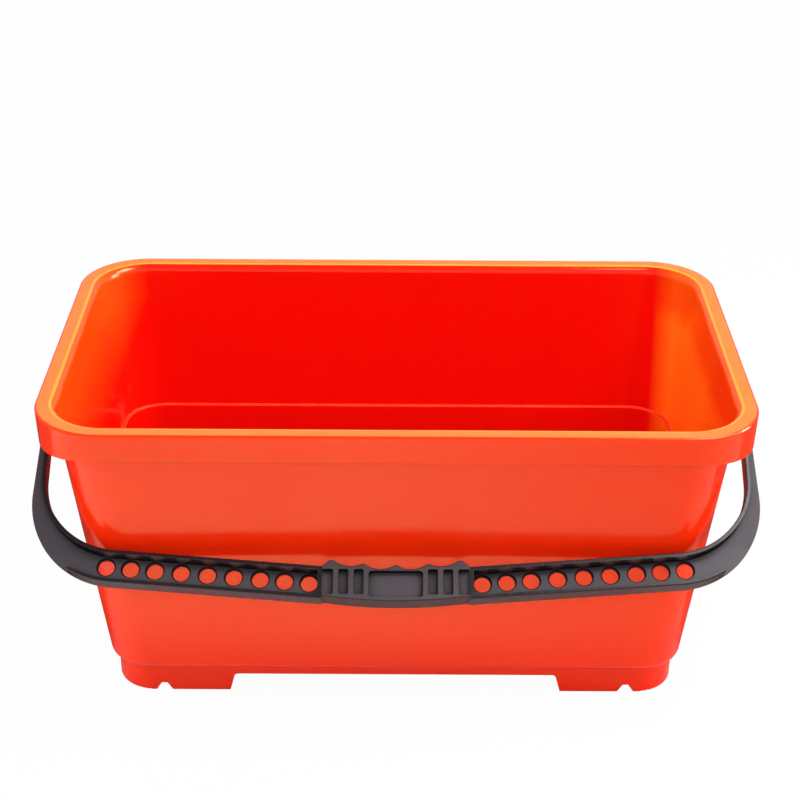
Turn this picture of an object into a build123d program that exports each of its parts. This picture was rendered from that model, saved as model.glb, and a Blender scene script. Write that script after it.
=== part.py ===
from build123d import *
import math
import os

# Frame: the origin is on the floor at the middle of the tub. X runs along the tub, -Y is the front, Z is up.
# All lengths are in millimetres and all angles in degrees.

# Rim of the tub
RIM_LENGTH = 500.0            # outside length over the rim
RIM_WIDTH = 298.0             # outside width over the rim
HEIGHT = 240.0                # floor to rim top
RIM_CORNER = 50.0             # plan radius of the rim's corners
RIM_OVERHANG = 11.6           # rim edge beyond the tank wall, measured at rim height
RIM_FLANGE = 3.4              # thickness of the flat rim top
RIM_ROUND_OUTSIDE = 2.0       # rounding of the rim's outer top edge
RIM_ROUND_INSIDE = 6.5        # rounding of the rim's inner top edge
SKIRT_DROP = 21.0             # height of the skirt that hangs from the rim
SKIRT_DIP = 7.0               # the skirt hangs lower by this much at the rim's ends
SKIRT_DIP_LENGTH = 60.0       # length over which it curves down to that depth, in from each end
SKIRT_WALL = 3.0
SKIRT_DRAFT = 2.6             # lean of the skirt's faces
SKIRT_ROUND = 0.8             # rounding of the skirt's lower outer edge

# Tank
WALL = 3.0
WALL_DRAFT = 6.54             # lean of the four walls
TANK_CORNER_TOP = 40.0        # plan radius of the tank's corners at rim height
TANK_CORNER_BASE = 32.0       # the same at the tank's base
FLOOR = 3.5
BASE_ROUND = 9.0              # rounding between the walls and the underside
INSIDE_ROUND = 8.0            # rounding between walls and floor inside
LEDGE_HEIGHT = 121.0          # height of the narrow ledge round the inside
LEDGE = 2.4                   # width of that ledge

# Plinth and feet
FOOT_HEIGHT = 15.0
PLINTH_BAND = 5.7             # height of the plinth band between feet and tank
PLINTH_INSET = 4.4            # plinth face in from the foot of the tank wall
PLINTH_CORNER = 30.0
PLINTH_WALL = 3.5
FOOT_LENGTH = 89.6            # length of a foot along the front, at the plinth band
FOOT_WIDTH = 60.0             # length of a foot along an end, at the plinth band
FOOT_LEAN = 4.0               # a foot's end face moves back this far from plinth to floor
FOOT_RIB = 3.0                # closing walls of the hollow feet, at the floor
FOOT_ROUND = 3.0              # rounding where a foot's end face meets the plinth band
FOOT_EDGE = 0.8               # rounding of the feet's outer edge at the floor
NOTCH_PLACE = 36.6            # notch in a foot's outer wall, from the plinth's end
NOTCH_WIDTH = 12.6
NOTCH_TOP = 4.0
NOTCH_HEIGHT = 6.6

# Pivots of the handle
RIM_ABOVE_EYE = 6.4           # rim top above the top of an eye
EYE_RADIUS = 8.0
EYE_PLATE = 1.8               # thickness of the arm round the eye, outside the rim
HUB_RADIUS = 4.6
HUB_LENGTH = 3.2              # an eye's hub stands this far into its recess
PIN_DIAMETER = 6.0
PIN_HEAD = 9.0
PIN_HEAD_HEIGHT = 1.0
PIN_BACKING = 1.9             # solid left between the pin and the end wall
PIN_POINT = 0.8               # chamfer on the pin's inner end
PIN_GROOVE_COUNT = 2          # relief grooves on the pressed length
PIN_GROOVE_WIDTH = 1.0
PIN_GROOVE_DEPTH = 0.3
PIVOT_BLOCK_WALL = 4.0        # solid left on both sides of the recess behind the skirt

# Handle
BAR_WIDTH = 24.0
BAR_SLOPE = 4.4               # the two arms droop towards the grip by this much
BAR_THICKNESS = 13.0
ARM_FLARE = 3.8               # lean of an arm's outer face
ARM_ROUND_OUTSIDE = 65.0      # corner radius of the arm's outline
ARM_ROUND_INSIDE = 57.0
STRAP_TAPER = 97.0            # length in which an arm narrows from its eye to the bar's thickness
ARM_EDGE_ROUND = 0.9
LIP = 2.8                     # raised edges of the channel on the bar's front
END_LIP = 3.0                 # the same at the grip
LIP_BEND = 40.0               # the far lip bends off the bar's line here, in from the arm's inner face
LIP_ROUND = 60.0              # rounding of that bend
LIP_END = 33.0                # the far lip ends this far round the arm's outer corner
LIP_TIP = 1.3                 # width of the far lip where it ends
WEB = 3.2                     # wall left behind the channel
CHANNEL_START = 45.0          # pivot axis to the channel's shallow end
CHANNEL_FULL = 150.0          # pivot axis to where the channel has its full depth
HOLE = 11.8                   # round holes along the bar
HOLE_BEVEL = 1.0
HOLE_OFFSET = 2.0             # the holes lie nearer the pivot than the bar's middle line
HOLE_FIRST = 9.4              # first hole, from the seam
HOLE_LAST = 46.8              # last hole, in from the arm's inner face
HOLE_PITCH_OUTER = 17.2       # spacing of the holes at both ends of a row
HOLE_PITCH_INNER = 18.5       # about the spacing of the holes in the middle of a row
HOLE_OUTER_STEPS = 2          # steps of the outer spacing at each end of a row

# Grip
GRIP_PROUD = 1.25             # the grip stands proud of the arms, front and back
GRIP_END = 6.4                # length of grip between an outer peak and the seam
GRIP_STEP = 1.5               # the arms stand proud of the grip's far edge by this much
GRIP_BOW = 3.7                # swell of the far edge at the middle
FINGER_PITCH = 22.5
FINGER_DEPTH = 3.8            # depth of a finger hollow, from half way between its two peaks
MIDDLE_PEAK = 1.2             # the middle peak stands nearer the pivot than the bar edge by this much
INNER_PEAK = 2.1              # the same for the two peaks beside it
OUTER_PEAK = 5.7              # the same for the two peaks at the ends
PEAK_ROUND = 2.0
OUTER_PEAK_ROUND = 4.0
GRIP_EDGE_ROUND = 1.3
POCKET_DEPTH = 4.6
POCKET_LENGTH = 38.2
POCKET_WIDTH = 19.6
POCKET_OFFSET = 1.5           # pocket farther from the pivot than the bar's middle line
POCKET_ROUND = 2.6
SLOT_WIDTH = 7.2
SLOT_HEIGHT = 19.0
SLOT_GAP = 3.2                # between the pocket and the first slot
SLOT_RIB = 3.4                # between two slots
SLOTS = 3                     # slots on each side; the last one opens into the seam

# Tongues that hold the arms in the grip
TONGUE_LENGTH = 14.0
TONGUE_WIDTH = 12.0
TONGUE_THICKNESS = 6.0
TONGUE_OFFSET = 2.0           # tongue behind the middle of the bar
CATCH_LENGTH = 5.0
CATCH_WIDTH = 8.0
CATCH_HEIGHT = 1.6
CATCH_PLACE = 8.5             # catch, from the seam

# Clearances
SIDE_CLEARANCE = 0.6          # between the rim and the arms
RECESS_CLEARANCE = 0.6        # round the eye's hub
HUB_CLEARANCE = 0.3           # behind the eye's hub
RUNNING_CLEARANCE = 0.05      # radial, pin in eye
HEAD_CLEARANCE = 0.25         # radial, pin head in its seat
HEAD_FLOAT = 0.1              # under the pin head
TONGUE_CLEARANCE = 0.15
REST_GAP = 0.6                # between the resting handle and the front wall
SWING_CLEARANCE = 7.7         # between the rim's long edge and the bar as it swings past

# Values that follow from the sizes above
SLOPE = math.tan(math.radians(WALL_DRAFT))
ACROSS = 1.0 / math.cos(math.radians(WALL_DRAFT))
DROOP = math.tan(math.radians(BAR_SLOPE))
FLARE = math.tan(math.radians(ARM_FLARE))
TANK_BASE = FOOT_HEIGHT + PLINTH_BAND
CAVITY_FLOOR = TANK_BASE + FLOOR
SKIRT_BOTTOM = HEIGHT - SKIRT_DROP
DIP_START = RIM_LENGTH / 2 - SKIRT_DIP_LENGTH
RECESS_RADIUS = HUB_RADIUS + RECESS_CLEARANCE
PIVOT_DROP = RIM_ABOVE_EYE + EYE_RADIUS
PIVOT_HEIGHT = HEIGHT - PIVOT_DROP
ARM_INSIDE = RIM_LENGTH / 2 + SIDE_CLEARANCE
EYE_OUTSIDE = ARM_INSIDE + EYE_PLATE
HUB_END = ARM_INSIDE - HUB_LENGTH
RECESS_FLOOR = HUB_END - HUB_CLEARANCE
HALF_GRIP = 2 * FINGER_PITCH + GRIP_END
GRIP_THICKNESS = BAR_THICKNESS + 2 * GRIP_PROUD
RIM_STRAIGHT = RIM_LENGTH / 2 - RIM_CORNER
BAR_NEAR = math.hypot(RIM_WIDTH / 2, PIVOT_DROP) + SWING_CLEARANCE + RIM_STRAIGHT * DROOP
REACH = 2.0 * (RIM_LENGTH + RIM_WIDTH + HEIGHT)
TINY = 0.001
EDGE_LIMIT = 0.45             # largest edge rounding, as a share of a wall


def near_edge(x):
    """Distance of the bar's near edge from the pivot axis, x from the middle of the handle."""
    return BAR_NEAR - x * DROOP


def far_edge(x):
    return near_edge(x) + BAR_WIDTH


def bar_middle(x):
    return near_edge(x) + BAR_WIDTH / 2


def tank_half(z, size):
    """Half length or half width of the tank's outside at height z."""
    return size / 2 - RIM_OVERHANG - (HEIGHT - z) * SLOPE


def rest_angle():
    """Angle between the resting handle and straight down, where it leans on the front wall."""
    wall_flat = tank_half(PIVOT_HEIGHT - BAR_NEAR / 2, RIM_LENGTH) - TANK_CORNER_TOP
    near = near_edge(wall_flat)
    half = BAR_THICKNESS / 2
    lean = math.radians(WALL_DRAFT)
    wall = tank_half(HEIGHT, RIM_WIDTH) * math.cos(lean) - PIVOT_DROP * math.sin(lean)
    turn = math.asin((wall + REST_GAP) / math.hypot(near, half)) + math.atan(half / near) - lean
    return math.degrees(turn)


def handle_place():
    """Frame of the handle: x along the pivot axis, y from that axis to the grip, z to the handle's back."""
    turn = math.radians(rest_angle())
    back = (0, math.cos(turn), -math.sin(turn))
    return Location(Plane(origin=(0, 0, PIVOT_HEIGHT), x_dir=(1, 0, 0), z_dir=back))


def along_x(radius, x_from, x_to):
    """Round bar on the pivot axis of the right end, in the frame of the handle."""
    bar = Cylinder(radius, x_to - x_from, align=(Align.CENTER, Align.CENTER, Align.MIN))
    return Pos(x_from, 0, 0) * Rot(0, 90, 0) * bar


# Tub

def tank_outline(z, inset):
    """Plan outline of the tank at height z, moved inwards by inset."""
    share = (HEIGHT - z) / (HEIGHT - TANK_BASE)
    corner = TANK_CORNER_TOP + (TANK_CORNER_BASE - TANK_CORNER_TOP) * share - inset
    length = 2 * (tank_half(z, RIM_LENGTH) - inset)
    width = 2 * (tank_half(z, RIM_WIDTH) - inset)
    return Pos(0, 0, z) * RectangleRounded(length, width, corner)


def tank_block(bottom, top, inset):
    return loft([tank_outline(bottom, inset), tank_outline(top, inset)], ruled=True)


def lowest_edges(solid):
    return solid.faces().sort_by(Axis.Z)[0].edges()


def tank_body():
    block = tank_block(TANK_BASE, HEIGHT, 0.0)
    return fillet(lowest_edges(block), BASE_ROUND)


def tank_cavity():
    """Room inside the tank: wider above the ledge than below it."""
    upper = tank_block(LEDGE_HEIGHT, HEIGHT, WALL * ACROSS)
    lower = tank_block(CAVITY_FLOOR, LEDGE_HEIGHT, WALL * ACROSS + LEDGE)
    lower = fillet(lowest_edges(lower), INSIDE_ROUND)
    return upper + lower


def rim():
    """Flat rim top and its hanging skirt, which drops towards the ends."""
    depth = SKIRT_DROP + SKIRT_DIP
    outline = RectangleRounded(RIM_LENGTH, RIM_WIDTH, RIM_CORNER)
    block = extrude(Pos(0, 0, HEIGHT) * outline, -depth, taper=SKIRT_DRAFT)
    block = fillet(block.faces().sort_by(Axis.Z)[-1].edges(), RIM_ROUND_OUTSIDE)
    block -= extrude(Plane.XZ * skirt_cut(), REACH, both=True)
    block = fillet(skirt_edges(block), SKIRT_ROUND)
    length = RIM_LENGTH - 2 * SKIRT_WALL
    inner = RectangleRounded(length, RIM_WIDTH - 2 * SKIRT_WALL, RIM_CORNER - SKIRT_WALL)
    gap = extrude(Pos(0, 0, HEIGHT - RIM_FLANGE) * inner, -depth, taper=SKIRT_DRAFT)
    return block - gap


def skirt_cut():
    """Front view of what is taken off under the skirt."""
    end = RIM_LENGTH / 2
    low = SKIRT_BOTTOM - SKIRT_DIP
    lines = [Line((-DIP_START, SKIRT_BOTTOM), (DIP_START, SKIRT_BOTTOM))]
    for side in (-1, 1):
        level = (side * DIP_START, SKIRT_BOTTOM)
        lines.append(TangentArc(level, (side * end, low), tangent=(side, 0)))
        lines.append(Line((side * end, low), (side * end, 0)))
    lines.append(Line((-end, 0), (end, 0)))
    return make_face(lines)


def skirt_edges(block):
    """Lower outline of the skirt, without the two lines across it where the curves start."""
    edges = block.edges().filter_by(lambda edge: edge.bounding_box().max.Z < SKIRT_BOTTOM + TINY)
    return edges.filter_by(lambda edge: abs(abs(edge.center().X) - DIP_START) > TINY)


def plinth():
    """Plinth wall and closing walls of the feet, cut away between the four feet."""
    half_x = tank_half(TANK_BASE, RIM_LENGTH) - PLINTH_INSET
    half_y = tank_half(TANK_BASE, RIM_WIDTH) - PLINTH_INSET
    outer = extrude(RectangleRounded(2 * half_x, 2 * half_y, PLINTH_CORNER), CAVITY_FLOOR)
    outer = fillet(lowest_edges(outer), FOOT_EDGE)
    inner_x = 2 * half_x - 2 * PLINTH_WALL
    inner_y = 2 * half_y - 2 * PLINTH_WALL
    base = outer - extrude(RectangleRounded(inner_x, inner_y, PLINTH_CORNER - PLINTH_WALL), CAVITY_FLOOR)
    rib = FOOT_LEAN + FOOT_RIB
    on_floor = (Align.CENTER, Align.CENTER, Align.MIN)
    for side in (-1, 1):
        rib_x = side * (half_x - FOOT_LENGTH + rib / 2)
        rib_y = side * (half_y - FOOT_WIDTH + rib / 2)
        base += Pos(rib_x, 0, 0) * Box(rib, inner_y + PLINTH_WALL, TANK_BASE, align=on_floor)
        base += Pos(0, rib_y, 0) * Box(inner_x + PLINTH_WALL, rib, TANK_BASE, align=on_floor)
    base -= extrude(Plane.XZ * foot_gap(half_x - FOOT_LENGTH), REACH, both=True)
    base -= extrude(Plane.YZ * foot_gap(half_y - FOOT_WIDTH), REACH, both=True)
    for side_x in (-1, 1):
        for side_y in (-1, 1):
            base -= Pos(side_x * (half_x - NOTCH_PLACE), side_y * half_y, 0) * foot_notch()
    return base


def foot_gap(top):
    """Opening between two feet, top half wide under the plinth, wider at the floor."""
    floor = top + FOOT_LEAN
    outline = Polyline((-floor, 0), (-top, FOOT_HEIGHT), (top, FOOT_HEIGHT), (floor, 0), close=True)
    return fillet(make_face(outline).vertices().group_by(Axis.Y)[-1], FOOT_ROUND)


def foot_notch():
    half = NOTCH_WIDTH / 2
    top = NOTCH_TOP / 2
    outline = Polyline((-half, 0), (-top, NOTCH_HEIGHT), (top, NOTCH_HEIGHT), (half, 0), close=True)
    return extrude(Plane.XZ * make_face(outline), 2 * PLINTH_WALL, both=True)


def pivot_block():
    """Solid stretch between the right end wall and the skirt, which holds a pin."""
    wall = tank_half(SKIRT_BOTTOM, RIM_LENGTH) - WALL / 2
    skirt = RIM_LENGTH / 2 - SKIRT_WALL / 2
    from_corner = (Align.MIN, Align.CENTER, Align.MIN)
    length = 2 * (RECESS_RADIUS + PIVOT_BLOCK_WALL)
    block = Box(skirt - wall, length, SKIRT_DROP - RIM_FLANGE / 2, align=from_corner)
    return Pos(wall, 0, SKIRT_BOTTOM) * block


def pin_start():
    """Place of the right pin's inner end."""
    return tank_half(PIVOT_HEIGHT, RIM_LENGTH) + PIN_BACKING


def pivot_cut():
    """Round recess for the right eye and the bore for its pin."""
    recess = along_x(RECESS_RADIUS, RECESS_FLOOR, RIM_LENGTH)
    bore = along_x(PIN_DIAMETER / 2, pin_start(), RIM_LENGTH)
    return Pos(0, 0, PIVOT_HEIGHT) * (recess + bore)


def left_of(solid):
    return mirror(solid, about=Plane.YZ)


def tub():
    block = pivot_block()
    cut = pivot_cut()
    body = tank_body() + rim() + plinth() + block + left_of(block)
    body -= tank_cavity()
    mouth = body.faces().sort_by(Axis.Z)[-1].inner_wires()[0].edges()
    body = fillet(mouth, RIM_ROUND_INSIDE)
    return body - cut - left_of(cut)


# Handle, drawn in its own frame

def outer_corner(inset):
    """Outer corner of an arm's outline, moved in by inset. At its own radius it is the rounding's centre."""
    side = EYE_OUTSIDE - inset / math.cos(math.radians(ARM_FLARE))
    top = far_edge(0) - inset / math.cos(math.radians(BAR_SLOPE))
    x = (side + top * FLARE) / (1 + DROOP * FLARE)
    return (x, top - x * DROOP)


def lip_end(distance):
    """Point on the line across the far lip's end, at a distance from the centre of the outer corner."""
    x, y = outer_corner(ARM_ROUND_OUTSIDE)
    turn = math.radians(LIP_END)
    return (x + distance * math.sin(turn), y + distance * math.cos(turn))


def arm_outline():
    """Front view of the right arm, from its eye round the corner to the seam."""
    inner_corner = (ARM_INSIDE, near_edge(ARM_INSIDE))
    points = [
        (ARM_INSIDE, -EYE_RADIUS),
        (EYE_OUTSIDE, -EYE_RADIUS),
        (EYE_OUTSIDE, 0),
        outer_corner(0),
        (HALF_GRIP, far_edge(HALF_GRIP)),
        (HALF_GRIP, near_edge(HALF_GRIP)),
        inner_corner,
    ]
    return round_corners(points, outer_corner(0), ARM_ROUND_OUTSIDE, inner_corner, ARM_ROUND_INSIDE)


def round_corners(points, outer, outer_radius, inner, inner_radius):
    face = make_face(Polyline(*points, close=True))
    face = fillet(face.vertices().sort_by_distance(outer)[0], outer_radius)
    return fillet(face.vertices().sort_by_distance(inner)[0], inner_radius)


def strap_half(y):
    """Half thickness of an arm at distance y from the pivot axis. The taper ends tangent to the bar."""
    half = BAR_THICKNESS / 2
    rise = EYE_RADIUS - half
    radius = (STRAP_TAPER ** 2 + rise ** 2) / (2 * rise)
    return half + radius - math.sqrt(radius ** 2 - max(STRAP_TAPER - y, 0.0) ** 2)


def arm_side():
    """Side view of an arm: round eye, tapering strap, then the bar's thickness."""
    end = far_edge(0)
    half = BAR_THICKNESS / 2
    middle = STRAP_TAPER / 2
    lines = [Line((end, -half), (end, half))]
    lines.append(ThreePointArc((0, -EYE_RADIUS), (-EYE_RADIUS, 0), (0, EYE_RADIUS)))
    for side in (-1, 1):
        bow = (middle, side * strap_half(middle))
        lines.append(ThreePointArc((0, side * EYE_RADIUS), bow, (STRAP_TAPER, side * half)))
        lines.append(Line((STRAP_TAPER, side * half), (end, side * half)))
    return make_face(lines)


def channel():
    """Recess along the front of an arm: shallow near the eye, open outwards at the corner, then full."""
    near_start = ARM_INSIDE + LIP
    inner_corner = (near_start, near_edge(near_start) + LIP)
    bend_x = ARM_INSIDE - LIP_BEND
    bend = (bend_x, far_edge(bend_x) - LIP)
    seam_end = HALF_GRIP + END_LIP
    points = [
        (near_start, CHANNEL_START),
        (RIM_LENGTH, CHANNEL_START),
        lip_end(2 * ARM_ROUND_OUTSIDE),
        lip_end(ARM_ROUND_OUTSIDE - LIP_TIP),
        bend,
        (seam_end, far_edge(seam_end) - LIP),
        (seam_end, near_edge(seam_end) + LIP),
        inner_corner,
    ]
    plan = round_corners(points, bend, LIP_ROUND, inner_corner, ARM_ROUND_INSIDE + LIP)
    floor = BAR_THICKNESS / 2 - WEB
    front = -2 * EYE_RADIUS
    side = Polyline(
        (CHANNEL_START, front),
        (CHANNEL_START, -strap_half(CHANNEL_START)),
        (CHANNEL_FULL, floor),
        (far_edge(0), floor),
        (far_edge(0), front),
        close=True,
    )
    return extrude(plan, REACH, both=True) & extrude(Plane.YZ * make_face(side), RIM_LENGTH)


def hole_places():
    """Hole centres from the middle of the handle: closer at both ends of the row than between."""
    first = HALF_GRIP + HOLE_FIRST
    last = ARM_INSIDE - HOLE_LAST
    ends = HOLE_OUTER_STEPS * HOLE_PITCH_OUTER
    between = last - first - 2 * ends
    count = round(between / HOLE_PITCH_INNER)
    places = [first + step * HOLE_PITCH_OUTER for step in range(HOLE_OUTER_STEPS)]
    places += [first + ends + between * step / count for step in range(count)]
    places += [last - step * HOLE_PITCH_OUTER for step in range(HOLE_OUTER_STEPS, -1, -1)]
    return places


def bar_hole():
    """Through hole with a bevelled front edge."""
    radius = HOLE / 2
    floor = BAR_THICKNESS / 2 - WEB
    bevel = Cone(radius + HOLE_BEVEL, radius, HOLE_BEVEL, align=(Align.CENTER, Align.CENTER, Align.MIN))
    return Cylinder(radius, 2 * BAR_THICKNESS) + Pos(0, 0, floor) * bevel


def tongue(clearance, catch_height):
    """Tongue at the right seam, with its catch. Grown by clearance it is the socket."""
    grown = 2 * clearance
    thickness = TONGUE_THICKNESS + grown
    bar = Box(
        TONGUE_LENGTH + clearance,
        TONGUE_WIDTH + grown,
        thickness,
        align=(Align.MAX, Align.CENTER, Align.CENTER),
    )
    catch = Box(
        CATCH_LENGTH + grown,
        CATCH_WIDTH + grown,
        catch_height,
        align=(Align.CENTER, Align.CENTER, Align.MIN),
    )
    both = bar + Pos(-CATCH_PLACE, 0, thickness / 2) * catch
    return Pos(HALF_GRIP, bar_middle(HALF_GRIP), TONGUE_OFFSET) * both


def arm_edges(body):
    """Long outline edges of an arm's front and back, without the seam, the eye and the end of the taper."""
    half = BAR_THICKNESS / 2 - TINY
    edges = body.edges().filter_by(lambda edge: abs(edge.center().Z) > half)
    edges = edges.filter_by(lambda edge: edge.center().X > HALF_GRIP + TINY)
    return edges.filter_by(lambda edge: edge.center().Y > TINY and abs(edge.center().Y - STRAP_TAPER) > TINY)


def arm():
    """Right arm."""
    body = extrude(arm_outline(), REACH, both=True) & extrude(Plane.YZ * arm_side(), RIM_LENGTH)
    body = fillet(arm_edges(body), min(ARM_EDGE_ROUND, EYE_PLATE * EDGE_LIMIT))
    body -= channel()
    for x in hole_places():
        body -= Pos(x, bar_middle(x) - HOLE_OFFSET, 0) * bar_hole()
    body += along_x(HUB_RADIUS, HUB_END, ARM_INSIDE + EYE_PLATE / 2)
    body -= along_x(PIN_DIAMETER / 2 + RUNNING_CLEARANCE, 0, RIM_LENGTH)
    seat = EYE_OUTSIDE - PIN_HEAD_HEIGHT - HEAD_FLOAT
    body -= along_x(PIN_HEAD / 2 + HEAD_CLEARANCE, seat, RIM_LENGTH)
    return body + tongue(0.0, CATCH_HEIGHT)


def grip_outline():
    """Front view of the grip, with finger hollows on its near edge."""
    end_near = near_edge(HALF_GRIP)
    end_far = far_edge(HALF_GRIP) - GRIP_STEP
    heights = [end_near - peak for peak in (MIDDLE_PEAK, INNER_PEAK, OUTER_PEAK)]
    lines = []
    for side in (-1, 1):
        for step in range(2):
            start = (side * step * FINGER_PITCH, heights[step])
            end = (side * (step + 1) * FINGER_PITCH, heights[step + 1])
            bottom = (heights[step] + heights[step + 1]) / 2 + FINGER_DEPTH
            lines.append(ThreePointArc(start, ((start[0] + end[0]) / 2, bottom), end))
        lines.append(Line(end, (side * HALF_GRIP, end_near)))
        lines.append(Line((side * HALF_GRIP, end_near), (side * HALF_GRIP, end_far)))
    lines.append(ThreePointArc((-HALF_GRIP, end_far), (0, end_far + GRIP_BOW), (HALF_GRIP, end_far)))
    face = make_face(lines)
    for step in range(-2, 3):
        tip = (step * FINGER_PITCH, heights[abs(step)])
        radius = OUTER_PEAK_ROUND if abs(step) == 2 else PEAK_ROUND
        face = fillet(face.vertices().sort_by_distance(tip)[0], radius)
    return face


def grip_edges(body):
    """Outline edges of the grip's front and back, without its two seams."""
    faces = body.faces().sort_by(Axis.Z)
    edges = faces[0].edges() + faces[-1].edges()
    return edges.filter_by(lambda edge: abs(edge.center().X) < HALF_GRIP - TINY)


def grip():
    body = extrude(grip_outline(), GRIP_THICKNESS / 2, both=True)
    body = fillet(grip_edges(body), GRIP_EDGE_ROUND)
    front = -GRIP_THICKNESS / 2
    middle = bar_middle(HALF_GRIP)
    pocket = extrude(RectangleRounded(POCKET_LENGTH, POCKET_WIDTH, POCKET_ROUND), POCKET_DEPTH, both=True)
    body -= Pos(0, middle + POCKET_OFFSET, front) * pocket
    first = POCKET_LENGTH / 2 + SLOT_GAP + SLOT_WIDTH / 2
    for index in range(SLOTS):
        place = first + index * (SLOT_WIDTH + SLOT_RIB)
        slot = Pos(place, middle, front) * finger_slot(index == SLOTS - 1)
        body -= slot
        body -= left_of(slot)
    socket = tongue(TONGUE_CLEARANCE, GRIP_THICKNESS)
    return body - socket - left_of(socket)


def finger_slot(is_last):
    """Upright slot on the grip's front. The last one runs out through the seam."""
    slot = RectangleRounded(SLOT_WIDTH, SLOT_HEIGHT, SLOT_WIDTH / 4)
    if is_last:
        slot += Pos(GRIP_END / 2, 0) * Rectangle(GRIP_END, SLOT_HEIGHT)
    return extrude(slot, POCKET_DEPTH, both=True)


def pivot_pin():
    """Pin of the right pivot, with a flush head and relief grooves on the pressed length."""
    radius = PIN_DIAMETER / 2
    start = pin_start()
    held = RECESS_FLOOR - start
    shank = along_x(radius, start, EYE_OUTSIDE)
    shank = chamfer(shank.faces().sort_by(Axis.X)[0].edges(), PIN_POINT)
    head = along_x(PIN_HEAD / 2, EYE_OUTSIDE - PIN_HEAD_HEIGHT, EYE_OUTSIDE)
    head = fillet(head.faces().sort_by(Axis.X)[-1].edges(), PIN_HEAD_HEIGHT / 3)
    pin = shank + head
    for index in range(PIN_GROOVE_COUNT):
        groove = start + held * (index + 1) / (PIN_GROOVE_COUNT + 1)
        ring = along_x(PIN_DIAMETER, groove, groove + PIN_GROOVE_WIDTH)
        pin -= ring - along_x(radius - PIN_GROOVE_DEPTH, groove, groove + PIN_GROOVE_WIDTH)
    return Pos(0, 0, PIVOT_HEIGHT) * pin


def all_parts():
    place = handle_place()
    right_arm = arm()
    right_pin = pivot_pin()
    return {
        "tub": tub(),
        "handle_arm_right": place * right_arm,
        "handle_arm_left": place * left_of(right_arm),
        "handle_grip": place * grip(),
        "pivot_pin_right": right_pin,
        "pivot_pin_left": left_of(right_pin),
    }


os.makedirs("parts", exist_ok=True)
for name, solid in all_parts().items():
    export_step(solid, f"parts/{name}.step")
print("handle at rest:", round(rest_angle(), 3), "degrees from straight down")
print("pivot height:", round(PIVOT_HEIGHT, 3))
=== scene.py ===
import math

import bpy
from mathutils import Matrix, Vector


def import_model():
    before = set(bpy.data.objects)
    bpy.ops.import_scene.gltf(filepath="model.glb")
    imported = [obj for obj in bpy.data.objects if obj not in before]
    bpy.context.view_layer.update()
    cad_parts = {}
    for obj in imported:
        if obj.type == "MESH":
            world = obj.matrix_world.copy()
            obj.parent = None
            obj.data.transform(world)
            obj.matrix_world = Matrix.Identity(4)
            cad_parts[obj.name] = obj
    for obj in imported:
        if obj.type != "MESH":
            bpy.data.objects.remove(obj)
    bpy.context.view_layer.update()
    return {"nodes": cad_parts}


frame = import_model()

MM = 0.001

# Camera, fitted to the photograph
CAMERA_PLACE = (-0.00017, -1.19556, 0.82329)
CAMERA_PITCH = 27.934         # degrees below the horizon
CAMERA_YAW = -0.125
CAMERA_ROLL = 0.386
CAMERA_LENS = 80.86           # millimetres on a sensor of SENSOR_WIDTH
SENSOR_WIDTH = 36.0

# Colours, linear
TUB_COLOUR = (0.96, 0.030, 0.0020)
TUB_COLOUR_DEEP = (0.94, 0.026, 0.0016)
# painted shade: deeper red towards the feet
BASE_SHADE_COLOUR = (0.90, 0.008, 0.0010)
# painted shade: the inside of the tank deeper red
INSIDE_SHADE_COLOUR = (0.72, 0.0020, 0.0010)
# painted light: orange glow inside the end walls
GLOW_COLOUR = (0.96, 0.200, 0.0080)
SHEEN_COLOUR = (1.0, 0.88, 0.42)
# painted highlight on the ledge's upward face
LEDGE_HIGHLIGHT_COLOUR = (0.95, 0.040, 0.022)
# painted highlight at the mouth's inner edge
MOUTH_HIGHLIGHT_COLOUR = (0.96, 0.340, 0.030)
# painted highlight: the rim's flat top paler
RIM_HIGHLIGHT_COLOUR = (0.84, 0.190, 0.026)
# wear on the edges, and painted highlights along them
SCUFF_AND_HIGHLIGHT_COLOUR = (0.95, 0.230, 0.080)
PIN_COLOUR = (0.020, 0.017, 0.018)
WHITE = (1.0, 1.0, 1.0)
FLOOR_COLOUR = (0.60, 0.60, 0.60)

# Dark plastics: colours, and the least and greatest roughness
HANDLE_LOOK = {
    "base": (0.0110, 0.0070, 0.0080),
    # painted highlight on the grip's front faces
    "grip": (0.050, 0.043, 0.047),
    "matt": (0.058, 0.051, 0.060),
    # painted reflection of the orange tub on faces that look down
    "under_reflection": (0.046, 0.012, 0.011),
    # wear and painted highlights along edges
    "worn_and_highlit": (0.105, 0.094, 0.098),
    "polish": (0.24, 0.32),
}
PIN_LOOK = {
    "base": PIN_COLOUR,
    "grip": PIN_COLOUR,
    "matt": PIN_COLOUR,
    "under_reflection": PIN_COLOUR,
    # wear and painted highlights along edges
    "worn_and_highlit": (0.060, 0.056, 0.056),
    "polish": (0.28, 0.36),
}

# Floor and backdrop
FLOOR_SIZE = 30.0
FLOOR_DROP = 0.3 * MM         # floor below the feet
FLOOR_WHITE = 0.97            # share of plain white that the camera sees on the floor
FLOOR_REFLECTED = 0.14        # the same in reflections
FLOOR_DARK = (-0.11, -0.06)   # from here on reflections lose the floor beside and behind the part
FLOOR_LOST = 0.90             # share of it that they lose
FLOOR_RIGHT = (0.00, 0.26)    # reflections lose some of the floor towards the right
FLOOR_RIGHT_LOST = 0.50       # share of it that they lose there
WORLD_LIGHT = 0.31
WORLD_LOW = 0.42              # the backdrop is white up to this height on the unit sphere
WORLD_HIGH = 0.80             # and has its dark top from here
WORLD_TOP = 0.18              # brightness of that top
WORLD_REFLECTED = 0.35        # share of the white backdrop in reflections

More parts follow.
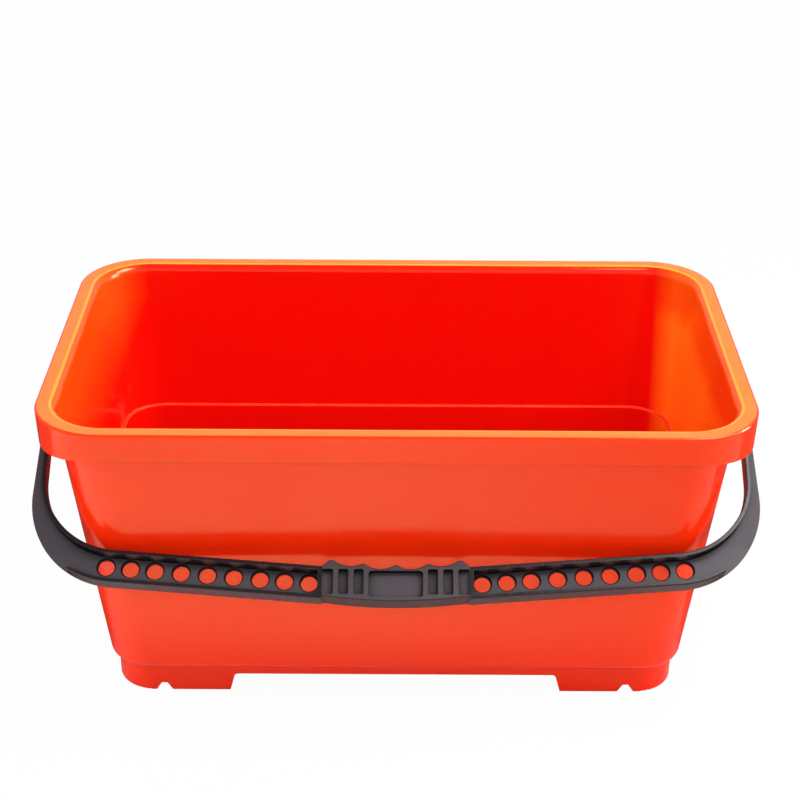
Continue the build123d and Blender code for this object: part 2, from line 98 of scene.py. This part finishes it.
# Soft boxes: name, place, width and height, watts, and whether reflections show them
LAMP_TARGET = (0, 0, 0.12)
LAMPS = (
    ("key", (0.88, -0.25, 1.55), (0.8, 1.0), 25, True),
    ("right", (1.50, 0.00, 0.55), (0.5, 0.9), 18, True),
    ("left", (-1.60, -0.30, 0.80), (0.7, 1.2), 19, False),
    ("front", (0.00, -2.20, 1.50), (1.6, 0.8), 26, False),
    ("back_left", (-0.80, 1.90, 1.65), (0.8, 0.6), 10, False),
)

# Tank: outside at rim height, lean of the walls and plan radius of the corners
HEIGHT = 240.0 * MM
TANK_HALF = (238.4 * MM, 137.4 * MM)
TANK_SLOPE = math.tan(math.radians(6.54))
TANK_CORNER = 40.0 * MM
CORNER_SLOPE = 8.0 / 219.3    # the corner radius shrinks by this much for each step down

# Zones of the tub's colour: heights, or depths behind the tank's outer outline
BASE_HEIGHTS = (5 * MM, 75 * MM)               # the painted shade towards the feet fades out over these, and the specular level rises over them
BASE_SHADE_SHARE = 0.9
INSIDE_DEPTHS = (1.0 * MM, 2.2 * MM)           # the inside starts here
INSIDE_HEIGHTS = (22.0 * MM, 23.5 * MM)
# share of the painted shade inside the tank
INSIDE_SHADE_SHARE = 0.95
MOUTH_DEPTHS = (-4.5 * MM, -3.8 * MM)          # the rounding of the mouth starts here
MOUTH_HEIGHTS = (232.5 * MM, 233.5 * MM)
MOUTH_HIGHLIGHT_BAND = (239.7 * MM, 0.2 * MM, 0.15 * MM)     # painted highlight line at the mouth: middle, half height and fade
# painted highlight line on the ledge: middle, half height and fade
LEDGE_HIGHLIGHT_BAND = (121.0 * MM, 0.3 * MM, 0.4 * MM)
# painted highlight on the rim's flat top, between these heights
RIM_HIGHLIGHT_HEIGHTS = (239.88 * MM, 239.98 * MM)

# Painted light inside the ends, by a mask from a long wall (0) round the corner to an end wall (1)
GLOW_FOOT = 110 * MM          # height at which the mask is shifted most
GLOW_LEFT = (1.34, 216 * MM, 0.08, 0.95)       # that shift, the height without one, and the mask's limits
GLOW_RIGHT = (0.30, 230 * MM, 0.25, 0.65)
LEFT_GLOW = 0.45              # strength of the painted light inside the left end
GLOW_CHANGE = (-50 * MM, 50 * MM)              # from the left end's painted light to the right end's
GLOW_UNDER_RIM = (198 * MM, 214 * MM, 1.0, 0.45)   # painted shade below the folded rim: heights, and the strength at each
GLOW_BEHIND_ARM = (-35 * MM, -5 * MM, 0.75, 1.0)   # painted shadow of the arm on the right end: places along Y, and the strength at each

# Noise patterns: scale and detail of the noise, its limits and the values that they give
TUB_FLOW = {"scale": 9.0, "stretch": (1.0, 1.0, 0.35), "limits": (0.35, 0.70, 0.0, 1.0)}
TUB_RUBS = {"scale": 85.0, "detail": 5.0, "roughness": 0.7, "limits": (0.40, 0.70, 0.15, 0.65)}
TUB_HAZE = {"scale": 60.0, "detail": 5.0, "limits": (0.3, 0.7, 0.13, 0.19)}
HANDLE_SCUFF = {"scale": 70.0, "detail": 6.0, "roughness": 0.65, "limits": (0.55, 0.80, 0.0, 0.07)}
HANDLE_RUBS = {"scale": 160.0, "detail": 5.0, "roughness": 0.7, "limits": (0.40, 0.70, 0.2, 0.8)}
HANDLE_POLISH = {"scale": 130.0, "detail": 4.0}
POLISH_LIMITS = (0.3, 0.7)

# Bumps: scale and detail of the noise, height and strength
TUB_WAVES = (14.0, 1.0, 1.0 * MM, 0.10)
TUB_PEEL = (900.0, 2.0, 0.05 * MM, 0.10)
HANDLE_GRAIN = (2600.0, 2.0, 0.04 * MM, 0.25)

# Tub plastic
TUB_IOR = 1.49
TUB_SPECULAR = (0.60, 0.90)   # specular level at the feet and above the base
TUB_EDGE = 1.2 * MM           # reach of the wear and painted highlights along edges
SUBSURFACE = 0.70
SUBSURFACE_RADIUS = (1.0, 0.5, 0.05)
SUBSURFACE_SCALE = 6.0 * MM

# Handle at rest: its front faces forwards and up
HANDLE_LEAN = math.radians(54.51)
HANDLE_FRONT = (0.0, -math.cos(HANDLE_LEAN), math.sin(HANDLE_LEAN))
HANDLE_FAR = (0.0, -math.sin(HANDLE_LEAN), -math.cos(HANDLE_LEAN))
PIVOT_HEIGHT = 225.6 * MM
RECESS_FLOOR = (5.0 * MM, 3.4 * MM)    # heights over the handle's middle plane where a recess's floor starts
RECESS_WALL = (6.2 * MM, 5.4 * MM)     # and where its walls start
GRIP_ENDS = (51.3 * MM, 51.5 * MM)     # the grip ends between these distances from the middle

# Handle plastic
HANDLE_IOR = 1.5
HANDLE_SPECULAR = 0.42
HANDLE_EDGE = 0.7 * MM        # reach of the wear and painted highlights along edges
MATT_ROUGHNESS = 0.26         # added in a recess
GRIP_MATT = 0.6               # share of it added on the grip
WALL_REACH = 15.0 * MM        # a recess's walls are told by the open space within this reach
WALL_OPEN = (0.97, 0.88)
CREVICE_REACH = 6.0 * MM      # and its corners, which get painted shade, within this one
CREVICE_OPEN = (0.50, 0.85, 0.15, 1.0)

# Masks by the direction of a face, as cosines
FACING = (0.80, 0.95)
EDGE_TURN = (0.995, 0.90)
RAY_SAMPLES = 4               # of the nodes that find edges and open space

# Shading of the CAD meshes
SMOOTH_ANGLE = math.radians(32)
WELD = 0.002 * MM


class Tree:
    """Short way to add nodes to a tree and join them."""

    def __init__(self, tree):
        self.tree = tree
        tree.nodes.clear()

    def add(self, kind, **settings):
        node = self.tree.nodes.new(kind)
        inputs = settings.pop("inputs", {})
        for name, value in settings.items():
            setattr(node, name, value)
        for name, value in inputs.items():
            self.feed(node.inputs[name], value)
        return node

    def feed(self, socket, value):
        if isinstance(value, bpy.types.NodeSocket):
            self.tree.links.new(value, socket)
        elif isinstance(value, tuple) and len(value) == 3 and socket.type == "RGBA":
            socket.default_value = (*value, 1.0)
        else:
            socket.default_value = value


def new_material(name):
    material = bpy.data.materials.new(name)
    material.use_nodes = True
    return material, Tree(material.node_tree)


def place(tree):
    """Coordinates in metres, in the frame of the part."""
    return tree.add("ShaderNodeTexCoord").outputs["Object"]


def axes(tree):
    """The same as three values, X, Y and Z."""
    return tree.add("ShaderNodeSeparateXYZ", inputs={"Vector": place(tree)}).outputs


def noise(tree, scale, detail=3.0, roughness=0.5, stretch=None):
    vector = place(tree)
    if stretch is not None:
        mapping = tree.add("ShaderNodeMapping", inputs={"Vector": vector, "Scale": stretch})
        vector = mapping.outputs["Vector"]
    settings = {"Vector": vector, "Scale": scale, "Detail": detail, "Roughness": roughness}
    return tree.add("ShaderNodeTexNoise", inputs=settings).outputs["Fac"]


def remap(tree, value, low, high, to_low=0.0, to_high=1.0):
    settings = {"Value": value, "From Min": low, "From Max": high, "To Min": to_low, "To Max": to_high}
    return tree.add("ShaderNodeMapRange", inputs=settings).outputs["Result"]


def pattern(tree, limits, **settings):
    return remap(tree, noise(tree, **settings), *limits)


def mixed(tree, share, first, second):
    node = tree.add("ShaderNodeMix", data_type="RGBA")
    tree.feed(node.inputs[0], share)
    tree.feed(node.inputs[6], first)
    tree.feed(node.inputs[7], second)
    return node.outputs[2]


def mixed_shaders(tree, share, first, second):
    node = tree.add("ShaderNodeMixShader")
    tree.feed(node.inputs[0], share)
    tree.feed(node.inputs[1], first.outputs[0])
    tree.feed(node.inputs[2], second.outputs[0])
    return node


def bump(tree, scale, detail, height, strength, normal=None):
    settings = {"Height": noise(tree, scale, detail), "Distance": height, "Strength": strength}
    if normal is not None:
        settings["Normal"] = normal
    return tree.add("ShaderNodeBump", inputs=settings).outputs["Normal"]


def math_node(tree, operation, first, second=0.0):
    node = tree.add("ShaderNodeMath", operation=operation)
    tree.feed(node.inputs[0], first)
    tree.feed(node.inputs[1], second)
    return node.outputs[0]


def product(tree, first, second):
    return math_node(tree, "MULTIPLY", first, second)


def rest_of(tree, share):
    return math_node(tree, "SUBTRACT", 1.0, share)


def tank_depth(tree, x, y, z):
    """Depth behind the tank's outer outline, and how far round a corner from a long wall to an end wall."""
    drop = math_node(tree, "SUBTRACT", HEIGHT, z)
    corner = math_node(tree, "SUBTRACT", TANK_CORNER, product(tree, drop, CORNER_SLOPE))
    beyond = []
    for distance, half in ((x, TANK_HALF[0]), (y, TANK_HALF[1])):
        wall = math_node(tree, "SUBTRACT", half, product(tree, drop, TANK_SLOPE))
        middle = math_node(tree, "SUBTRACT", wall, corner)
        beyond.append(math_node(tree, "SUBTRACT", math_node(tree, "ABSOLUTE", distance), middle))
    squares = []
    for value in beyond:
        outwards = math_node(tree, "MAXIMUM", value, 0.0)
        squares.append(product(tree, outwards, outwards))
    round_part = math_node(tree, "SQRT", math_node(tree, "ADD", squares[0], squares[1]))
    flat_part = math_node(tree, "MINIMUM", math_node(tree, "MAXIMUM", beyond[0], beyond[1]), 0.0)
    depth = math_node(tree, "SUBTRACT", corner, math_node(tree, "ADD", round_part, flat_part))
    return depth, math_node(tree, "DIVIDE", beyond[0], corner)


def band(tree, value, middle, half, fade):
    """1 where a value is within half of the middle, fading to 0."""
    distance = math_node(tree, "ABSOLUTE", math_node(tree, "SUBTRACT", value, middle))
    return remap(tree, distance, half, half + fade, 1.0, 0.0)


def glow_mask(tree, round_corner, z, shift, top, low, high):
    shifted = math_node(tree, "SUBTRACT", round_corner, remap(tree, z, GLOW_FOOT, top, shift, 0.0))
    return remap(tree, shifted, low, high)


def end_glow(tree, round_corner, x, y, z):
    """Painted light inside the ends: on the left from over the rim, on the right through the wall behind the
    arm, dimmed by painted shade below the rim and by the arm's painted shadow.
    """
    at_right = remap(tree, x, *GLOW_CHANGE)
    left = product(tree, glow_mask(tree, round_corner, z, *GLOW_LEFT), LEFT_GLOW)
    shade = product(tree, remap(tree, z, *GLOW_UNDER_RIM), remap(tree, y, *GLOW_BEHIND_ARM))
    right = product(tree, glow_mask(tree, round_corner, z, *GLOW_RIGHT), shade)
    left = product(tree, left, rest_of(tree, at_right))
    return math_node(tree, "ADD", left, product(tree, right, at_right))


def inside_mask(tree, depth, z):
    """1 on the inside of the tank, with the rounding of its mouth."""
    walls = product(tree, remap(tree, depth, *INSIDE_DEPTHS), remap(tree, z, *INSIDE_HEIGHTS))
    mouth = product(tree, remap(tree, depth, *MOUTH_DEPTHS), remap(tree, z, *MOUTH_HEIGHTS))
    return math_node(tree, "MAXIMUM", walls, mouth)


def tub_colour(tree, x, y, z):
    """Painted shade deeper inside and towards the feet, painted light inside the end walls, and painted
    highlights paler at the rim, at the mouth's inner edge and on the ledge.
    """
    colour = mixed(tree, pattern(tree, **TUB_FLOW), TUB_COLOUR, TUB_COLOUR_DEEP)
    # painted shade: darker red towards the feet
    colour = mixed(tree, remap(tree, z, *BASE_HEIGHTS, BASE_SHADE_SHARE, 0.0), colour, BASE_SHADE_COLOUR)
    depth, round_corner = tank_depth(tree, x, y, z)
    inside = inside_mask(tree, depth, z)
    # painted shade: deeper red inside the tank
    colour = mixed(tree, product(tree, inside, INSIDE_SHADE_SHARE), colour, INSIDE_SHADE_COLOUR)
    # painted light inside the end walls
    ends = end_glow(tree, round_corner, x, y, z)
    colour = mixed(tree, product(tree, inside, ends), colour, GLOW_COLOUR)
    # painted highlights: pale lines on the ledge and at the mouth's inner edge
    for limits, paler in ((LEDGE_HIGHLIGHT_BAND, LEDGE_HIGHLIGHT_COLOUR), (MOUTH_HIGHLIGHT_BAND, MOUTH_HIGHLIGHT_COLOUR)):
        colour = mixed(tree, product(tree, inside, band(tree, z, *limits)), colour, paler)
    # painted highlight: the rim's flat top paler
    return mixed(tree, remap(tree, z, *RIM_HIGHLIGHT_HEIGHTS), colour, RIM_HIGHLIGHT_COLOUR)


def along(tree, vector, direction):
    dot = tree.add("ShaderNodeVectorMath", operation="DOT_PRODUCT")
    tree.feed(dot.inputs[0], vector)
    tree.feed(dot.inputs[1], direction)
    return dot.outputs["Value"]


def edge_share(tree, radius):
    """1 along the edges of the shape and 0 on its faces."""
    bevel = tree.add("ShaderNodeBevel", samples=RAY_SAMPLES, inputs={"Radius": radius})
    normal = tree.add("ShaderNodeNewGeometry").outputs["Normal"]
    return remap(tree, along(tree, bevel.outputs["Normal"], normal), *EDGE_TURN)


def tub_plastic():
    material, tree = new_material("tub_plastic")
    x, y, z = axes(tree)
    # wear and painted highlights along the edges
    worn_and_highlit = product(tree, edge_share(tree, TUB_EDGE), pattern(tree, **TUB_RUBS))
    surface = tree.add("ShaderNodeBsdfPrincipled", inputs={
        "Base Color": mixed(tree, worn_and_highlit, tub_colour(tree, x, y, z), SCUFF_AND_HIGHLIGHT_COLOUR),
        "Roughness": pattern(tree, **TUB_HAZE),
        "Normal": bump(tree, *TUB_PEEL, bump(tree, *TUB_WAVES)),
        "IOR": TUB_IOR,
        "Specular IOR Level": remap(tree, z, *BASE_HEIGHTS, *TUB_SPECULAR),
        "Specular Tint": SHEEN_COLOUR,
        "Subsurface Weight": SUBSURFACE,
        "Subsurface Radius": SUBSURFACE_RADIUS,
        "Subsurface Scale": SUBSURFACE_SCALE,
    })
    tree.add("ShaderNodeOutputMaterial", inputs={"Surface": surface.outputs["BSDF"]})
    return material


def facing(tree, direction):
    """1 on faces that look in a direction of the part's frame."""
    normal = tree.add("ShaderNodeTexCoord").outputs["Normal"]
    return remap(tree, along(tree, normal, direction), *FACING)


def openness(tree, reach):
    """Share of the space within reach of a face that the piece itself leaves open."""
    shade = tree.add("ShaderNodeAmbientOcclusion", samples=RAY_SAMPLES, only_local=True,
                     inputs={"Distance": reach})
    return shade.outputs["AO"]


def recess_depth(tree, limits):
    """1 below the handle's front, in its pockets, channels and holes, and 0 on the front."""
    middle = PIVOT_HEIGHT * HANDLE_FRONT[2]
    height = along(tree, place(tree), HANDLE_FRONT)
    return remap(tree, height, middle + limits[0], middle + limits[1])


def satin_plastic(name, base, grip, matt, under_reflection, worn_and_highlit, polish):
    """Dark moulded plastic with a fine grain, matt recesses, a satin grip with its front faces painted
    lighter, painted shade in the corners of recesses, a painted reflection of the tub on faces that look
    down, and edges with wear and painted highlights.
    """
    material, tree = new_material(name)
    from_middle = math_node(tree, "ABSOLUTE", axes(tree)["X"])
    on_grip = remap(tree, from_middle, *GRIP_ENDS, 1.0, 0.0)
    front = facing(tree, HANDLE_FRONT)
    bottom = product(tree, recess_depth(tree, RECESS_FLOOR), front)
    closed = remap(tree, openness(tree, WALL_REACH), *WALL_OPEN)
    walls = product(tree, product(tree, recess_depth(tree, RECESS_WALL), rest_of(tree, front)), closed)
    hidden = math_node(tree, "ADD", bottom, walls)
    shown = rest_of(tree, hidden)
    # painted shade in the corners of the recesses
    crevice_shade = remap(tree, openness(tree, CREVICE_REACH), *CREVICE_OPEN)
    # wear and painted highlights along edges
    rubbed_and_highlit = product(tree, edge_share(tree, HANDLE_EDGE), pattern(tree, **HANDLE_RUBS))
    # painted reflection of the orange tub on faces that look down
    colour = mixed(tree, product(tree, facing(tree, HANDLE_FAR), shown), base, under_reflection)
    # painted highlight: the grip's front faces lighter
    colour = mixed(tree, product(tree, product(tree, on_grip, front), shown), colour, grip)
    colour = mixed(tree, product(tree, bottom, crevice_shade), colour, matt)
    colour = mixed(tree, pattern(tree, **HANDLE_SCUFF), colour, matt)
    colour = mixed(tree, product(tree, rubbed_and_highlit, shown), colour, worn_and_highlit)
    matter = math_node(tree, "MAXIMUM", hidden, product(tree, on_grip, GRIP_MATT))
    polished = remap(tree, noise(tree, **HANDLE_POLISH), *POLISH_LIMITS, *polish)
    surface = tree.add("ShaderNodeBsdfPrincipled", inputs={
        "Base Color": colour,
        "Roughness": math_node(tree, "ADD", polished, product(tree, matter, MATT_ROUGHNESS)),
        "Normal": bump(tree, *HANDLE_GRAIN),
        "IOR": HANDLE_IOR,
        "Specular IOR Level": remap(tree, walls, 0.0, 1.0, HANDLE_SPECULAR, 0.0),
    })
    tree.add("ShaderNodeOutputMaterial", inputs={"Surface": surface.outputs["BSDF"]})
    return material


def smooth_group():
    """Geometry nodes that join the CAD faces and shade them smooth, apart from their sharp edges."""
    group = bpy.data.node_groups.new("smooth_cad", "GeometryNodeTree")
    group.interface.new_socket("Geometry", in_out="INPUT", socket_type="NodeSocketGeometry")
    group.interface.new_socket("Geometry", in_out="OUTPUT", socket_type="NodeSocketGeometry")
    tree = Tree(group)
    start = tree.add("NodeGroupInput")
    joined = tree.add("GeometryNodeMergeByDistance", inputs={
        "Geometry": start.outputs["Geometry"], "Distance": WELD,
    })
    smooth = tree.add("GeometryNodeSetShadeSmooth", domain="FACE", inputs={
        "Geometry": joined.outputs["Geometry"], "Shade Smooth": True,
    })
    angle = tree.add("GeometryNodeInputMeshEdgeAngle")
    sharp = tree.add("FunctionNodeCompare", data_type="FLOAT", operation="GREATER_THAN")
    tree.feed(sharp.inputs[0], angle.outputs["Unsigned Angle"])
    tree.feed(sharp.inputs[1], SMOOTH_ANGLE)
    edges = tree.add("GeometryNodeSetShadeSmooth", domain="EDGE", inputs={
        "Geometry": smooth.outputs["Geometry"], "Selection": sharp.outputs["Result"], "Shade Smooth": False,
    })
    tree.add("NodeGroupOutput", inputs={"Geometry": edges.outputs["Geometry"]})
    return group


def dress(names, material, group):
    """Gives CAD nodes their material and smooth shading."""
    for name in names:
        node = frame["nodes"][name]
        node.data.materials.clear()
        node.data.materials.append(material)
        smooth = node.modifiers.new("smooth_cad", "NODES")
        smooth.node_group = group
        weighted = node.modifiers.new("weighted_normals", "WEIGHTED_NORMAL")
        weighted.keep_sharp = True


def seen_rays(tree, direct, reflected):
    """The background's own white: direct for camera rays, reflected for glossy and transmission rays."""
    path = tree.add("ShaderNodeLightPath").outputs
    mirrored = math_node(tree, "MAXIMUM", path["Is Glossy Ray"], path["Is Transmission Ray"])
    direct = product(tree, path["Is Camera Ray"], direct)
    return math_node(tree, "MAXIMUM", direct, product(tree, mirrored, reflected))


def lost_rays(tree):
    """The share of the floor that reflections lose."""
    x, y, _ = axes(tree)
    behind = remap(tree, y, *FLOOR_DARK, 0.0, FLOOR_LOST)
    right = remap(tree, x, *FLOOR_RIGHT, 0.0, FLOOR_RIGHT_LOST)
    glossy = tree.add("ShaderNodeLightPath").outputs["Is Glossy Ray"]
    return product(tree, glossy, math_node(tree, "MAXIMUM", behind, right))


def floor():
    material, tree = new_material("floor")
    matt = tree.add("ShaderNodeBsdfDiffuse", inputs={"Color": FLOOR_COLOUR})
    white = tree.add("ShaderNodeEmission", inputs={"Color": WHITE, "Strength": 1.0})
    black = tree.add("ShaderNodeEmission", inputs={"Color": WHITE, "Strength": 0.0})
    lit = mixed_shaders(tree, seen_rays(tree, FLOOR_WHITE, FLOOR_REFLECTED), matt, white)
    surface = mixed_shaders(tree, lost_rays(tree), lit, black)
    tree.add("ShaderNodeOutputMaterial", inputs={"Surface": surface.outputs[0]})
    bpy.ops.mesh.primitive_plane_add(size=FLOOR_SIZE, location=(0, 0, -FLOOR_DROP))
    plane = bpy.context.object
    plane.name = "floor"
    plane.data.materials.append(material)


def world():
    """White backdrop with a dark top, which only rays that show the background see."""
    background = bpy.data.worlds.new("studio")
    background.use_nodes = True
    tree = Tree(background.node_tree)
    direction = tree.add("ShaderNodeTexCoord").outputs["Generated"]
    height = tree.add("ShaderNodeSeparateXYZ", inputs={"Vector": direction}).outputs["Z"]
    level = remap(tree, height, WORLD_LOW, WORLD_HIGH, 1.0, WORLD_TOP)
    lit = tree.add("ShaderNodeBackground", inputs={"Color": WHITE, "Strength": WORLD_LIGHT})
    shown = tree.add("ShaderNodeBackground", inputs={"Color": WHITE, "Strength": level})
    surface = mixed_shaders(tree, seen_rays(tree, 1.0, WORLD_REFLECTED), lit, shown)
    tree.add("ShaderNodeOutputWorld", inputs={"Surface": surface.outputs[0]})
    bpy.context.scene.world = background


def soft_box(name, where, size, power, reflected):
    lamp = bpy.data.lights.new(name, "AREA")
    lamp.shape = "RECTANGLE"
    lamp.size, lamp.size_y = size
    lamp.energy = power
    holder = bpy.data.objects.new(name, lamp)
    holder.location = where
    aim = Vector(LAMP_TARGET) - Vector(where)
    holder.rotation_euler = aim.to_track_quat("-Z", "Y").to_euler()
    holder.visible_glossy = reflected
    bpy.context.scene.collection.objects.link(holder)


def camera():
    lens = bpy.data.cameras.new("camera")
    lens.sensor_width = SENSOR_WIDTH
    lens.lens = CAMERA_LENS
    holder = bpy.data.objects.new("camera", lens)
    turn = Matrix.Rotation(math.radians(CAMERA_YAW), 4, "Z")
    turn @= Matrix.Rotation(math.radians(90 - CAMERA_PITCH), 4, "X")
    turn @= Matrix.Rotation(math.radians(CAMERA_ROLL), 4, "Z")
    holder.matrix_world = Matrix.Translation(CAMERA_PLACE) @ turn
    bpy.context.scene.collection.objects.link(holder)
    bpy.context.scene.camera = holder


group = smooth_group()
dress(["tub"], tub_plastic(), group)
handle_plastic = satin_plastic("handle_plastic", **HANDLE_LOOK)
dress(["handle_arm_left", "handle_arm_right", "handle_grip"], handle_plastic, group)
dress(["pivot_pin_left", "pivot_pin_right"], satin_plastic("pin_plastic", **PIN_LOOK), group)
floor()
world()
for lamp in LAMPS:
    soft_box(*lamp)
camera()
bpy.context.scene.view_settings.view_transform = "Standard"
